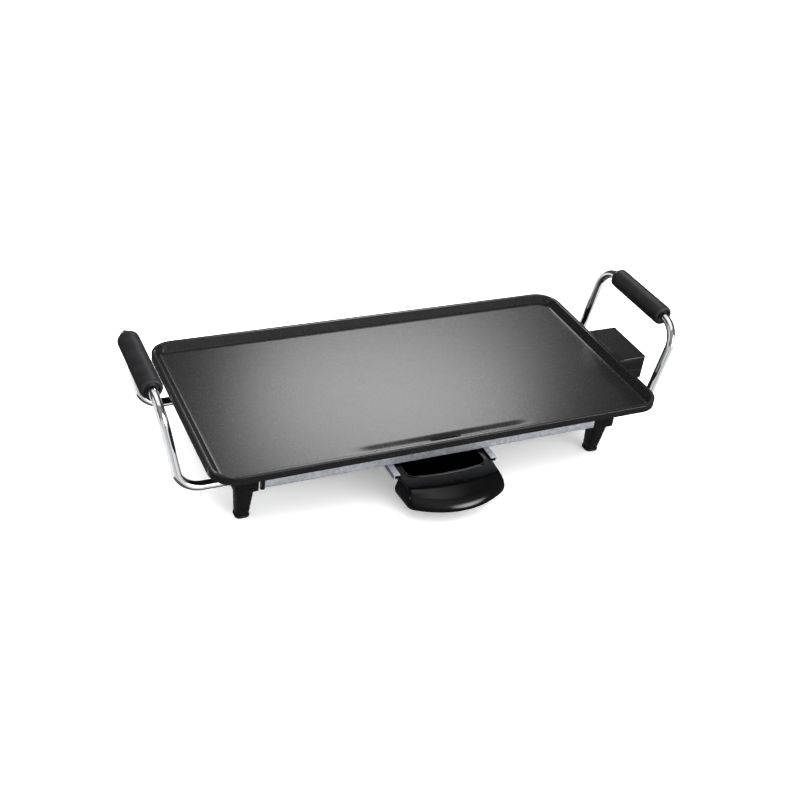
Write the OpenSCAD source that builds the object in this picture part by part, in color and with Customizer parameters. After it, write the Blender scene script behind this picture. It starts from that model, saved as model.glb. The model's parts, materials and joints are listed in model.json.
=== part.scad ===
// Table-top electric griddle: a cast pan-shaped plate on four moulded feet, with a
// rod handle at each end, a drip tray that slides out at the front and a socket for
// a plug-in thermostat on the right. Millimetres, +Z up, table top at Z = 0.

/* [Plate] */
// Width of the plate over its rim, left to right
plate_w = 470; // [380:1:570]
// Depth of the plate over its rim, front to back
plate_d = 235; // [195:1:285]
// Height of the top of the rim above the table
rim_z = 82; // [76:1:100]
// Radius of the plate's outer corners
plate_r = 24; // [18:1:30]
// Depth of the cooking floor below the rim
pan_depth = 7.4; // [5:0.1:10]
// Width of the flat top of the rim
rim_w = 4.5; // [3:0.1:5.5]
// Sideways run of the sloping inner wall
wall_run = 5.5; // [3:0.1:7]
// Height of the rim's outer face
skirt_h = 8.1; // [6:0.1:10]
// Thickness of the cooking floor
floor_t = 3.6; // [3:0.1:5]
// Step from the rim's outer face to the underside of the floor
under_step = 6; // [4:0.1:8]

/* [Drain] */
// Length of the drain slot
drain_l = 28; // [20:1:36]
// Width of the drain slot
drain_w = 7; // [5:0.5:9]
// Sideways place of the drain slot
drain_x = -4; // [-12:1:12]
// Length of the shallow gutter that leads to the slot
gutter_l = 190; // [120:1:240]
// Width of the gutter
gutter_w = 13; // [9:0.5:16]
// Depth of the gutter
gutter_h = 1.2; // [0.6:0.1:1.6]

/* [Feet] */
// Distance from the plate's side to a foot screw
foot_in_x = 41.7; // [35:0.1:60]
// Distance from the plate's front or back to a foot screw
foot_in_y = 48.5; // [40:0.1:58]
// Width of the foot's head
head_w = 22.6; // [20:0.1:27]
// Reach of the head beyond the foot screw, towards the outside
head_front = 15.8; // [14:0.1:19]
// Reach of the head behind the foot screw
head_back = 12; // [8:0.5:14]
// Step from the base pan down to the bottom of the head
head_drop = 2; // [1:0.1:3]
// Width of the leg where it meets the head
leg_top_w = 17; // [15:0.5:20]
// Depth of the leg where it meets the head
leg_top_d = 18; // [15:0.5:20]
// Width and depth of the leg at its lower end
leg_low_w = 13; // [12.5:0.1:15]
// Radius of the leg's upright corners
leg_r = 4; // [2:0.1:4.8]
// Height of the rubber pad under a foot
pad_h = 3; // [2:0.1:5]

/* [Handles] */
// Diameter of the handle rod
rod_d = 9; // [7:0.1:9.6]
// Distance from the plate's side out to the grip's axis
grip_out = 35; // [30:0.5:45]
// Height of the grip's axis above the rim
grip_lift = 54; // [45:1:66]
// Outward lean of the handle's legs, in degrees
lean = 11.3; // [6:0.1:14]
// Radius of the bend beside the grip, on the rod's axis
bend_top_r = 24; // [18:1:28]
// Radius of the bend beside the plate, on the rod's axis
bend_low_r = 25; // [18:1:30]
// Height of the rod's axis above the bottom of the foot's head
run_rise = 6; // [5.5:0.1:7.2]
// Outer diameter of the grip
grip_d = 21; // [16:0.5:24]
// Bare bar between the grip's end and the bend
grip_bare = 1.5; // [0.5:0.1:10]

/* [Base pan] */
// Thickness of the galvanised sheet
sheet_t = 0.8; // [0.6:0.1:1.2]
// Height of the underside of the base pan above the table
pan_z = 38; // [32:0.5:46]
// Gap between the pan's end and a foot's head
pan_gap = 1.6; // [0.8:0.1:3]
// Distance from the plate's side to a mounting post
post_in = 115; // [105:1:130]

/* [Heating element] */
// Diameter of the element's sheath
sheath_d = 7; // [6:0.1:8.4]
// Drop of the element's axis below the cooking floor's underside
sheath_drop = 7; // [6:0.1:8.4]
// Distance from the plate's front or back to the element's long run
run_in = 59.5; // [52:0.5:66]
// Distance from the middle of the plate to the element's cold ends
pin_y = 20; // [17:0.5:24]
// Diameter of a contact pin
pin_d = 6; // [5:0.1:6.5]
// Inner diameter of the thermostat's probe sleeve
probe_d = 6.4; // [5.3:0.1:7.7]

/* [Socket] */
// Reach of the socket beyond the plate's rim
socket_l = 36; // [30:1:43]
// Distance from a pin's axis to the socket's side
pin_side = 11; // [10:0.5:13]
// Distance from the pins' axes to the bottom of the socket
socket_drop = 12; // [10:0.5:14]
// Step from the rim down to the socket's lid
lid_drop = 2.5; // [1:0.1:4]
// Wall thickness of the socket
socket_wall = 2.5; // [2:0.1:3]

/* [Drip tray] */
// Sideways place of the tray and its rails
tray_x = 2.6; // [-6:0.1:6]
// Width over the two rails
rails_w = 111.2; // [92:0.1:134]
// Width of a rail's top and bottom flanges
rail_flange = 6.5; // [6:0.1:8]
// Height of a rail
rail_h = 5; // [4.6:0.1:8]
// Reach of the basin past the middle of the drain slot
drip_margin = 3.6; // [3:0.1:5]
// Length of the handle's cheeks beside the basin
cheek_l = 6; // [5:0.1:8]
// Distance from the back of the tray to the back of the rails
tray_short = 22; // [18:1:30]
// Step from the base pan down to the top of the tray
tray_drop = 2; // [1.6:0.1:2.4]
// Height of the tray
tray_h = 18.5; // [15:0.5:22]
// Wall thickness of the tray
tray_wall = 2; // [1.5:0.1:2.5]
// Reach of the tray handle in front of the basin
handle_reach = 39.9; // [33:0.1:48]
// Step from the tray's underside down to the handle's
handle_drop = 1.5; // [0.5:0.1:3]

/* [Fits] */
// Gap between a sliding piece and its guide
slide_gap = 0.5; // [0.3:0.1:0.8]
// Gap between fixed pieces that are slipped together
seat_gap = 0.2; // [0.1:0.05:0.4]
// Radial gap between the rod and its socket in the foot
rod_gap = 0.1; // [0.05:0.05:0.2]

/* [Hidden] */
$fn = 64;
floor_z = rim_z - pan_depth;
under_z = floor_z - floor_t;
skirt_z = rim_z - skirt_h;
drain_y = plate_d / 2 - rim_w - wall_run - drain_w / 2;
// Screw sizes: M4 for feet, posts and tray, M3 for the socket
m4_d = 4;
m4_clear = 4.4;
m4_head_d = 7;
m4_head_h = 4;
m3_d = 3;
m3_clear = 3.4;
m3_head_d = 5.5;
m3_head_h = 2;
// Feet and the cast bosses that their screws go into
foot_x = plate_w / 2 - foot_in_x;
foot_y = plate_d / 2 - foot_in_y;
head_z = pan_z - head_drop;
run_z = head_z + run_rise;
boss_d = 11;
boss_z = under_z - 9;
seat_z = 14;
leg_back = 5.5;
leg_top_front = leg_top_d - leg_back + 0.5;
// Handles
grip_x = plate_w / 2 + grip_out;
grip_z = rim_z + grip_lift;
bar_half = foot_y - bend_top_r;
// The level runs are ground down a little to fit the feet.
run_d = rod_d - 0.1;
grip_l = 2 * (bar_half - grip_bare);
// Base pan: its walls are flush with the heads of the feet
wall_y = foot_y + head_front;
pan_half = foot_x - head_w / 2 - pan_gap;
pan_wall_z = under_z - 2;
pan_bottom_half = pan_half - 9;
// Element route
sheath_z = under_z - sheath_drop;
run_y = plate_d / 2 - run_in;
bend_r = (run_y - pin_y) / 2;
cold_x = plate_w / 2 - 45;
run_right = cold_x - 2 * bend_r;
run_left = -(plate_w / 2 - 95);
rib_w = sheath_d + 6;
rib_z = sheath_z - sheath_d / 2 - 2;
rib_end = plate_w / 2 - 23;
sheath_end = plate_w / 2 - 5;
post_x = plate_w / 2 - post_in;
post_y = run_y - rib_w / 2 - boss_d / 2 - 12;
// Socket
socket_x0 = plate_w / 2 + 1;
socket_x1 = plate_w / 2 + socket_l;
socket_w = 2 * (pin_y + pin_side);
socket_z = sheath_z - socket_drop;
lid_t = 2;
lid_z = rim_z - lid_drop - lid_t;
tongue_x0 = plate_w / 2 - 30;
tongue_half = socket_w / 2 + 9;
tongue_screw_x = plate_w / 2 - 16;
tongue_screw_y = socket_w / 2 + 2.5;
bushing_d = pin_d + 4;
bushing_x0 = sheath_end - 4;
bushing_x1 = socket_x0 + socket_wall + 4;
shank_d = pin_d - 1;
pin_x0 = bushing_x1 + 0.5;
pin_end = socket_x1 - 9;
probe_wall = 0.8;
probe_x0 = plate_w / 2 - 65;
probe_x1 = bushing_x1;
pillar_d = 6.4;
shell_screw_x = plate_w / 2 - 3.5;
shell_screw_y = pin_y + bushing_d / 2 + pillar_d / 2 + seat_gap;
// Rails and tray
basin_front = drain_y + drip_margin;
front_reach = basin_front + handle_reach;
rail_t = 1;
rail_half = rails_w / 2;
rail_low_z = pan_z - rail_h;
rail_front = basin_front - cheek_l - 0.6;
rail_back = wall_y - 14.8;
rivet_d = 3.2;
rivet_head_d = 4.4;
rivet_head_h = 0.6;
rivet_first = wall_y - 24.8;
rivet_last = rail_back - 20;
rivet_y = [-rivet_first, (rivet_last - rivet_first) / 2, rivet_last];
tray_z = pan_z - tray_drop;
tray_low_z = tray_z - tray_h;
handle_low_z = tray_low_z - handle_drop;
ledge_w = 6.5;
ledge_half = rail_half - rail_flange - 2 * slide_gap;
flange_half = rail_half - rail_t - slide_gap;
flange_low_z = rail_low_z + rail_t + slide_gap / 2;
flange_t = rail_h - 2 * rail_t - 2.5 * slide_gap;
basin_half = ledge_half - ledge_w;
basin_back = rail_back - tray_short - tray_wall;
basin_low_z = tray_low_z + tray_wall;
basin_bow = 3.6;
basin_r = 8;
cheek_y = basin_front - cheek_l;
tray_side_y = cheek_y - seat_gap;
tray_screw_x = basin_half / 2;
tray_screw_z = (tray_z + handle_low_z) / 2;
tray_seat_y = bowed(basin_front, basin_bow, basin_half, tray_screw_x + m4_head_d / 2);
// The origin is below the middle of the whole object, so the plate sits behind it.
plate_y = (front_reach - plate_d / 2) / 2;

// Puts a piece drawn about the middle of the plate into the object's own frame.
module at_plate() {
  translate([0, plate_y, 0]) children();
}

// A flat rounded rectangle with true round corners.
module rounded_rect(w, d, r) {
  square([w - 2 * r, d], center = true);
  square([w, d - 2 * r], center = true);
  for (sx = [-1, 1], sy = [-1, 1])
    translate([sx * (w / 2 - r), sy * (d / 2 - r)]) circle(r);
}

// A slot outline with round ends, lying along X.
module slot(l, w) {
  square([l - w, w], center = true);
  for (sx = [-1, 1])
    translate([sx * (l - w) / 2, 0]) circle(d = w);
}

// The pan's hollow: straight sloping walls with cone corners that open upwards.
module flared_hollow(w, d, r_low, r_top, h) {
  cx = w / 2 - r_top;
  cy = d / 2 - r_top;
  for (sx = [-1, 1], sy = [-1, 1])
    translate([sx * cx, sy * cy, 0]) cylinder(h, r_low, r_top);
  translate([-cx, 0, 0]) rotate([90, 0, 90])
    linear_extrude(2 * cx)
      polygon([[-cy - r_low, 0], [cy + r_low, 0], [cy + r_top, h], [-cy - r_top, h]]);
  translate([0, cy, 0]) rotate([90, 0, 0])
    linear_extrude(2 * cy)
      polygon([[-cx - r_low, 0], [cx + r_low, 0], [cx + r_top, h], [-cx - r_top, h]]);
}

// A straight stretch of a flat profile, from one X to another.
module stretch_x(x0, x1, y) {
  translate([x0, y, sheath_z]) rotate([90, 0, 90]) linear_extrude(x1 - x0) children();
}

// A quarter turn of a flat profile about an upright axis, starting at angle a0.
module turn_z(x, y, a0) {
  translate([x, y, sheath_z]) rotate([0, 0, a0])
    rotate_extrude(angle = 90) translate([bend_r, 0]) children();
}

// The heating element's loop, with its cold ends running out to x_end.
module element_route(x_end) {
  for (s = [0, 1]) mirror([0, s, 0]) {
    stretch_x(cold_x, x_end, pin_y) children();
    turn_z(cold_x, pin_y + bend_r, 180) children();
    turn_z(run_right, run_y - bend_r, 0) children();
    stretch_x(run_left, run_right, run_y) children();
    turn_z(run_left, run_y - bend_r, 90) children();
  }
  reach = run_y - bend_r;
  translate([run_left - bend_r, reach, sheath_z])
    rotate([90, 0, 0]) linear_extrude(2 * reach) children();
}

module foot_places() {
  for (sx = [-1, 1], sy = [-1, 1])
    translate([sx * foot_x, sy * foot_y, 0]) children();
}

module post_places() {
  for (sx = [-1, 1], sy = [-1, 1])
    translate([sx * post_x, sy * post_y, 0]) children();
}

module griddle_plate() color("#3a3a3c") at_plate() {
  wall_in = 2 * rim_w;
  difference() {
    union() {
      difference() {
        translate([0, 0, skirt_z]) linear_extrude(skirt_h) rounded_rect(plate_w, plate_d, plate_r);
        translate([0, 0, floor_z])
          flared_hollow(plate_w - wall_in, plate_d - wall_in, plate_r - rim_w - wall_run,
                        plate_r - rim_w, pan_depth);
      }
      translate([0, 0, under_z]) linear_extrude(floor_z - under_z - 0.5)
        rounded_rect(plate_w - 2 * under_step, plate_d - 2 * under_step, plate_r - under_step);
      element_route(rib_end)
        translate([-rib_w / 2, rib_z - sheath_z]) square([rib_w, under_z + 1 - rib_z]);
      stretch_x(probe_x0 - 4, rib_end, 0)
        translate([-rib_w / 2, rib_z - sheath_z]) square([rib_w, under_z + 1 - rib_z]);
      foot_places() translate([0, 0, boss_z]) cylinder(under_z + 1 - boss_z, d = boss_d);
      post_places() translate([0, 0, pan_z + sheet_t])
        cylinder(under_z + 1 - pan_z - sheet_t, d = boss_d);
      for (sy = [-1, 1])
        translate([tongue_screw_x, sy * tongue_screw_y, socket_z + socket_wall])
          cylinder(under_z + 1 - socket_z - socket_wall, d = boss_d - 2);
      translate([drain_x, -drain_y, under_z - 1.5]) linear_extrude(2.5) slot(drain_l + 5, drain_w + 5);
    }
    element_route(rib_end + 1) circle(d = sheath_d);
    stretch_x(probe_x0, rib_end + 1, 0) circle(d = probe_d + 2 * probe_wall);
    translate([drain_x, -drain_y, under_z - 7]) linear_extrude(pan_depth + floor_t + 7)
      slot(drain_l, drain_w);
    translate([drain_x, -drain_y + (gutter_w - drain_w) / 2, floor_z - gutter_h])
      linear_extrude(gutter_h + 1) slot(gutter_l, gutter_w);
    foot_places() translate([0, 0, boss_z - 1]) cylinder(9, d = m4_d);
    post_places() translate([0, 0, pan_z]) cylinder(14, d = m4_d);
    for (sy = [-1, 1])
      translate([tongue_screw_x, sy * tongue_screw_y, socket_z]) cylinder(14, d = m3_d);
  }
}

module heating_element() color("#6f6a64") at_plate()
  element_route(sheath_end) circle(d = sheath_d);

// Each pin has a thinner shank inside its bushing and a shoulder just outside it.
module contact_pins() color("#c9a24a") at_plate()
  for (sy = [-1, 1]) {
    translate([sheath_end, sy * pin_y, sheath_z]) rotate([0, 90, 0])
      cylinder(pin_x0 - sheath_end, d = shank_d);
    translate([pin_x0, sy * pin_y, sheath_z]) rotate([0, 90, 0])
      cylinder(pin_end - pin_x0 - 1, d = pin_d);
    translate([pin_end - 1, sy * pin_y, sheath_z]) rotate([0, 90, 0])
      cylinder(1, d1 = pin_d, d2 = pin_d - 2);
  }

module pin_bushings() color("#e8e4da") at_plate()
  for (sy = [-1, 1]) {
    translate([bushing_x0, sy * pin_y, sheath_z]) rotate([0, 90, 0])
      difference() {
        cylinder(bushing_x1 - bushing_x0, d = bushing_d);
        translate([0, 0, -1]) cylinder(1 + sheath_end - bushing_x0, d = sheath_d);
        cylinder(bushing_x1 - bushing_x0 + 1, d = shank_d);
      }
  }

module probe_sleeve() color("silver") at_plate()
  translate([probe_x0, 0, sheath_z]) rotate([0, 90, 0])
    difference() {
      cylinder(probe_x1 - probe_x0, d = probe_d + 2 * probe_wall);
      translate([0, 0, 2]) cylinder(probe_x1 - probe_x0, d = probe_d);
    }

// Front-to-back section of the base pan: a flat bottom with two upright walls.
module pan_section(grow, top) {
  r = 1.6 - grow;
  half = wall_y - grow;
  low = pan_z + grow;
  translate([-half + r, low]) square([2 * (half - r), top - low]);
  translate([-half, low + r]) square([2 * half, top - low - r]);
  for (sy = [-1, 1])
    translate([sy * (half - r), low + r]) circle(r);
}

module pan_trough(length) {
  translate([-pan_half, 0, 0]) rotate([90, 0, 90])
    linear_extrude(length)
      difference() {
        pan_section(0, pan_wall_z);
        pan_section(sheet_t, pan_wall_z + 1);
      }
}

module base_pan() color("#b9bec4") at_plate()
  difference() {
    pan_trough(2 * pan_half);
    for (s = [0, 1]) mirror([s, 0, 0])
      translate([pan_bottom_half, -wall_y + 3, pan_z - 1])
        cube([pan_half, 2 * wall_y - 6, sheet_t + 2]);
    post_places() translate([0, 0, pan_z - 1]) cylinder(sheet_t + 2, d = m4_clear);
    rivet_places() translate([0, 0, pan_z - 1]) cylinder(sheet_t + 2, d = rivet_d);
  }

module base_pan_screws() color("silver") at_plate()
  post_places() translate([0, 0, pan_z]) {
    translate([0, 0, -2.4]) cylinder(2.4, d = 8);
    cylinder(12, d = m4_d);
  }

// Moulded clips on the cut ends of the pan's walls, front left and back right.
module edge_clips() color("#161616") at_plate()
  for (turn = [0, 180]) rotate([0, 0, turn])
    difference() {
      translate([-pan_half - 0.3, -wall_y - 0.6, pan_z - 0.6])
        linear_extrude(pan_wall_z - pan_z - 2) {
          translate([0, 0.6]) square([4, sheet_t + 1.2]);
          translate([0.6, 0]) square([3.4, sheet_t + 2.4]);
        }
      pan_trough(10);
    }

// One foot, drawn about its screw: the head takes the rod, the leg stands on the pad.
module foot_body() {
  low = leg_low_w / 2 - leg_r;
  top = leg_top_w / 2 - leg_r;
  difference() {
    union() {
      translate([-head_w / 2, -head_front, head_z])
        cube([head_w, head_front + head_back, under_z - head_z]);
      hull() {
        for (sx = [-1, 1]) {
          translate([sx * low, leg_back - leg_r, pad_h]) cylinder(0.5, r = leg_r, $fn = 32);
          translate([sx * low, leg_back - leg_low_w + leg_r, pad_h]) cylinder(0.5, r = leg_r, $fn = 32);
          translate([sx * top, leg_back - leg_r, head_z]) cylinder(0.5, r = leg_r, $fn = 32);
          translate([sx * top, -leg_top_front + leg_r, head_z]) cylinder(0.5, r = leg_r, $fn = 32);
        }
      }
    }
    translate([0, 0, pad_h - 1]) cylinder(seat_z - pad_h + 1, d = m4_head_d + 0.4);
    cylinder(under_z, d = m4_clear);
    translate([0, 0, boss_z - 0.5]) cylinder(rim_z, d = boss_d + 2 * seat_gap);
  }
}

// Mirrors a foot drawn for the front left corner to another corner.
module foot_at(sx, sy) {
  translate([sx * foot_x, sy * foot_y, 0])
    mirror([sx > 0 ? 1 : 0, 0, 0]) mirror([0, sy > 0 ? 1 : 0, 0]) children();
}

module rod_socket() {
  translate([-head_w / 2 - 1, 0, run_z]) rotate([0, 90, 0])
    cylinder(head_w - 0.8, d = run_d + 2 * rod_gap);
}

module foot(sx, sy) color("#1a1a1b") at_plate()
  foot_at(sx, sy) difference() {
    foot_body();
    rod_socket();
  }

module foot_pad(sx, sy) color("#101010") at_plate()
  foot_at(sx, sy) difference() {
    translate([0, leg_back - leg_low_w / 2, 0]) linear_extrude(pad_h)
      rounded_rect(leg_low_w + 1.4, leg_low_w + 1.4, leg_r + 0.7);
    translate([0, 0, -1]) cylinder(pad_h + 2, d = m4_head_d + 0.4);
  }

module foot_screws() color("silver") at_plate()
  foot_places() translate([0, 0, seat_z]) {
    difference() {
      translate([0, 0, -m4_head_h]) cylinder(m4_head_h, d = m4_head_d);
      translate([0, 0, -m4_head_h - 1]) cylinder(3, d = 3.5, $fn = 6);
    }
    cylinder(boss_z + 8 - seat_z, d = m4_d);
  }

// One handle rod on the right. Each stretch is drawn from the end of the one before it:
// grip bar, upper bend, leaning leg, lower bend, then the level run into the foot.
module rod_right() {
  drop = grip_z - run_z - bend_low_r;
  leg_l = (drop + bend_low_r * sin(lean)) / cos(lean);
  low_x = grip_x - bend_low_r * cos(lean) - leg_l * sin(lean);
  rod_in = foot_x - head_w / 2 + 2.4;
  difference() {
    translate([grip_x, 0, grip_z]) rotate([0, lean, 0]) {
      translate([0, bar_half, 0]) rotate([90, 0, 0]) cylinder(2 * bar_half, d = rod_d);
      for (s = [0, 1]) mirror([0, s, 0]) {
        translate([0, bar_half, -bend_top_r]) rotate([90, 0, 90])
          rotate_extrude(angle = 90) translate([bend_top_r, 0]) circle(d = rod_d);
        translate([0, foot_y, -leg_l]) cylinder(leg_l - bend_top_r, d = rod_d);
        translate([-bend_low_r, foot_y, -leg_l]) rotate([-90, 0, 0]) {
          rotate_extrude(angle = 90 - lean) translate([bend_low_r, 0]) circle(d = rod_d);
          rotate([0, 0, 90 - lean]) translate([bend_low_r, -1, 0]) rotate([-90, 0, 0])
            cylinder(low_x - rod_in + 1, d = run_d);
        }
      }
    }
    for (sy = [-1, 1])
      translate([foot_x, sy * foot_y, run_z - rod_d]) cylinder(2 * rod_d, d = m4_clear);
  }
}

module handle_rod_right() color("#d8dadd") at_plate() rod_right();

module handle_rod_left() color("#d8dadd") at_plate() mirror([1, 0, 0]) rod_right();

// The grip: a tube with rounded end edges and a shallow recess at each end.
module grip(side) color("#202021") at_plate() {
  edge_r = 2;
  recess_d = grip_d - 6;
  half = grip_l / 2;
  translate([side * grip_x, 0, grip_z]) rotate([90, 0, 0])
    difference() {
      rotate_extrude() {
        translate([0, -half]) square([grip_d / 2 - edge_r, grip_l]);
        translate([0, -half + edge_r]) square([grip_d / 2, grip_l - 2 * edge_r]);
        for (s = [-1, 1])
          translate([grip_d / 2 - edge_r, s * (half - edge_r)]) circle(edge_r);
      }
      cylinder(grip_l + 2, d = rod_d, center = true);
      for (s = [0, 1]) mirror([0, 0, s])
        translate([0, 0, half - 3]) cylinder(4, d = recess_d);
    }
}

// The half shells meet on the pins' axes and clamp the bushings and the probe sleeve.
module socket_bores() {
  for (sy = [-1, 1])
    translate([socket_x0 - 1, sy * pin_y, sheath_z]) rotate([0, 90, 0])
      cylinder(socket_wall + 2, d = bushing_d);
  translate([socket_x0 - 1, 0, sheath_z]) rotate([0, 90, 0])
    cylinder(socket_wall + 2, d = probe_d + 2 * probe_wall);
}

module socket_tube(z0, z1) {
  difference() {
    translate([socket_x0, -socket_w / 2, z0]) cube([socket_x1 - socket_x0, socket_w, z1 - z0]);
    translate([socket_x0 + socket_wall, -socket_w / 2 + socket_wall, socket_z + socket_wall])
      cube([socket_l, socket_w - 2 * socket_wall, lid_z - socket_z]);
    socket_bores();
  }
}

module socket_lower_shell() color("#3a3a3b") at_plate()
  difference() {
    union() {
      socket_tube(socket_z, sheath_z);
      translate([tongue_x0, -tongue_half, socket_z])
        cube([socket_x0 + 0.5 - tongue_x0, 2 * tongue_half, socket_wall]);
      for (sy = [-1, 1])
        translate([shell_screw_x, sy * shell_screw_y, socket_z])
          cylinder(sheath_z - socket_z, d = pillar_d);
    }
    for (sy = [-1, 1]) {
      translate([tongue_screw_x, sy * tongue_screw_y, socket_z - 1]) cylinder(9, d = m3_clear);
      translate([shell_screw_x, sy * shell_screw_y, socket_z - 1]) cylinder(20, d = m3_clear);
    }
  }

module socket_upper_shell() color("#3a3a3b") at_plate() {
  arm_h = sheath_drop - 0.5;
  difference() {
    union() {
      socket_tube(sheath_z, lid_z);
      for (sy = [-1, 1])
        translate([shell_screw_x, sy * shell_screw_y, sheath_z]) {
          cylinder(arm_h, d = pillar_d);
          translate([0, -pillar_d / 2, 0]) cube([socket_x0 + 0.5 - shell_screw_x, pillar_d, arm_h]);
        }
    }
    for (sy = [-1, 1])
      translate([shell_screw_x, sy * shell_screw_y, sheath_z - 1]) cylinder(6, d = m3_d);
  }
}

module socket_lid() color("#262627") at_plate()
  difference() {
    union() {
      translate([socket_x0 + 0.4, -socket_w / 2 - 0.5, lid_z])
        cube([socket_x1 + 0.1 - socket_x0, socket_w + 1, lid_t]);
      translate([socket_x0 + socket_wall + seat_gap, -socket_w / 2 + socket_wall + seat_gap, lid_z - 1.5])
        cube([socket_l - socket_wall - 3, socket_w - 2 * socket_wall - 2 * seat_gap, 1.6]);
    }
    translate([socket_x0 + socket_wall + 2, -socket_w / 2 + socket_wall + 2, lid_z - 2])
      cube([socket_l, socket_w - 2 * socket_wall - 4, 2]);
  }

module socket_screws() color("silver") at_plate()
  for (sy = [-1, 1])
    translate([tongue_screw_x, sy * tongue_screw_y, socket_z]) {
      translate([0, 0, -m3_head_h]) cylinder(m3_head_h, d = m3_head_d);
      cylinder(13, d = m3_d);
    }

module shell_screws() color("silver") at_plate()
  for (sy = [-1, 1])
    translate([shell_screw_x, sy * shell_screw_y, socket_z]) {
      translate([0, 0, -m3_head_h]) cylinder(m3_head_h, d = m3_head_d);
      cylinder(sheath_z + 4 - socket_z, d = m3_d);
    }

// A sprung leaf on the floor of the socket.
module earth_contact() color("#c9a24a") at_plate() {
  leaf_t = 0.6;
  x0 = socket_x0 + socket_wall + 0.3;
  z0 = socket_z + socket_wall;
  translate([0, 4, 0]) rotate([90, 0, 0])
    linear_extrude(8)
      polygon([
        [x0, z0], [x0 + 12, z0], [x0 + 20, z0 + 2.4], [x0 + 25, z0 + 0.8],
        [x0 + 25, z0 + 0.8 + leaf_t], [x0 + 20, z0 + 2.4 + leaf_t], [x0 + 12, z0 + leaf_t],
        [x0, z0 + leaf_t]
      ]);
}

module rivet_places() {
  for (sx = [-1, 1], y = rivet_y)
    translate([tray_x + sx * (rail_half - (rail_flange + rail_t) / 2), y, 0]) children();
}

// A channel that opens towards the tray, drawn for the right-hand side.
module rail_right() {
  inner = rail_half - rail_flange;
  translate([0, rail_back, 0]) rotate([90, 0, 0])
    linear_extrude(rail_back + rail_front)
      polygon([
        [inner, pan_z], [rail_half, pan_z], [rail_half, rail_low_z], [inner, rail_low_z],
        [inner, rail_low_z + rail_t], [rail_half - rail_t, rail_low_z + rail_t],
        [rail_half - rail_t, pan_z - rail_t], [inner, pan_z - rail_t]
      ]);
}

module tray_rail(side) color("#c4c8cc") at_plate()
  difference() {
    translate([tray_x, 0, 0]) mirror([side < 0 ? 1 : 0, 0, 0]) rail_right();
    rivet_places() translate([0, 0, pan_z - rail_t - 1]) cylinder(rail_t + 2, d = rivet_d);
  }

module rail_rivets() color("silver") at_plate()
  rivet_places() {
    translate([0, 0, pan_z - rail_t - rivet_head_h]) cylinder(rivet_head_h, d = rivet_head_d);
    translate([0, 0, pan_z - rail_t]) cylinder(rail_t + sheet_t, d = rivet_d);
    translate([0, 0, pan_z + sheet_t]) cylinder(rivet_head_h, d = rivet_head_d);
  }

// Points of an arc about [x, y], from angle a0 to a1.
function arc(x, y, r, a0, a1, n) =
  [for (i = [0:n]) [x + r * cos(a0 + (a1 - a0) * i / n), y + r * sin(a0 + (a1 - a0) * i / n)]];

// Depth of a bowed front edge at x: it falls back by bow at half a width from the middle.
function bowed(front, bow, half, x) = -front + bow * (x / half) * (x / half);

// Basin outline grown outwards: straight sides, a bowed front and round front corners.
function basin_outline(grow, back) =
  let (
    half = basin_half + grow,
    r = basin_r + grow,
    corner_y = bowed(basin_front, basin_bow, basin_half, half - r) + basin_r,
    bow = [for (i = [-6:6]) let (x = (half - r) * i / 6)
      [x, bowed(basin_front, basin_bow, basin_half, x) - grow]]
  )
  concat(
    [[half, back], [-half, back]],
    arc(-half + r, corner_y, r, 180, 262, 6),
    bow,
    arc(half - r, corner_y, r, 278, 360, 6)
  );

module basin(grow, back, z0, z1) {
  translate([tray_x, 0, z0]) linear_extrude(z1 - z0) polygon(basin_outline(grow, back));
}

module tray_screw_bores(d, y0, y1) {
  for (sx = [-1, 1])
    translate([tray_x + sx * tray_screw_x, y1, tray_screw_z]) rotate([90, 0, 0])
      cylinder(y1 - y0, d = d);
}

module drip_tray() color("#121213") at_plate()
  difference() {
    union() {
      basin(tray_wall, basin_back + tray_wall, tray_low_z, tray_z);
      translate([tray_x - ledge_half, -tray_side_y, flange_low_z])
        cube([2 * ledge_half, tray_side_y + basin_back + tray_wall, tray_z - flange_low_z]);
      translate([tray_x - flange_half, -tray_side_y, flange_low_z])
        cube([2 * flange_half, tray_side_y + basin_back + tray_wall, flange_t]);
    }
    basin(0, basin_back, basin_low_z, tray_z + 1);
    tray_screw_bores(m4_clear, -basin_front - tray_wall - 1, -basin_front + 4);
  }

// Handle outline at one height: a straight back and a bowed front between square corners.
module handle_slice(z, back_half, front_half, front, bow, t) {
  translate([tray_x, 0, z]) linear_extrude(t)
    polygon(concat(
      [[back_half, -cheek_y], [-back_half, -cheek_y]],
      [for (i = [-6:6]) let (x = front_half * i / 6) [x, bowed(front, bow, front_half, x)]]
    ));
}

module tray_handle() color("#0b0b0c") at_plate() {
  w = rail_half;
  thin = 0.2;
  difference() {
    hull() {
      handle_slice(tray_z - thin, w - 4.8, w - 6.2, front_reach - 21.2, 4.8, thin);
      handle_slice(tray_z - 4.5, w - 3.4, w - 4.6, front_reach - 11.5, 9, thin);
      handle_slice(tray_z - 11.5, w - 1.8, w - 3.4, front_reach, 17, thin);
      handle_slice(handle_low_z + 4, w - 2, w - 3.8, front_reach - 0.8, 17, thin);
      handle_slice(handle_low_z, w - 4, w - 6, front_reach - 8, 15, thin);
    }
    basin(tray_wall + seat_gap, 0, handle_low_z - 1, tray_z + 1);
    tray_screw_bores(m4_d, -basin_front - tray_wall - 14, -basin_front);
  }
}

module tray_screws() color("silver") at_plate() {
  tray_screw_bores(m4_d, -basin_front - tray_wall - 12, tray_seat_y);
  tray_screw_bores(m4_head_d, tray_seat_y, tray_seat_y + 2.4);
}

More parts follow.
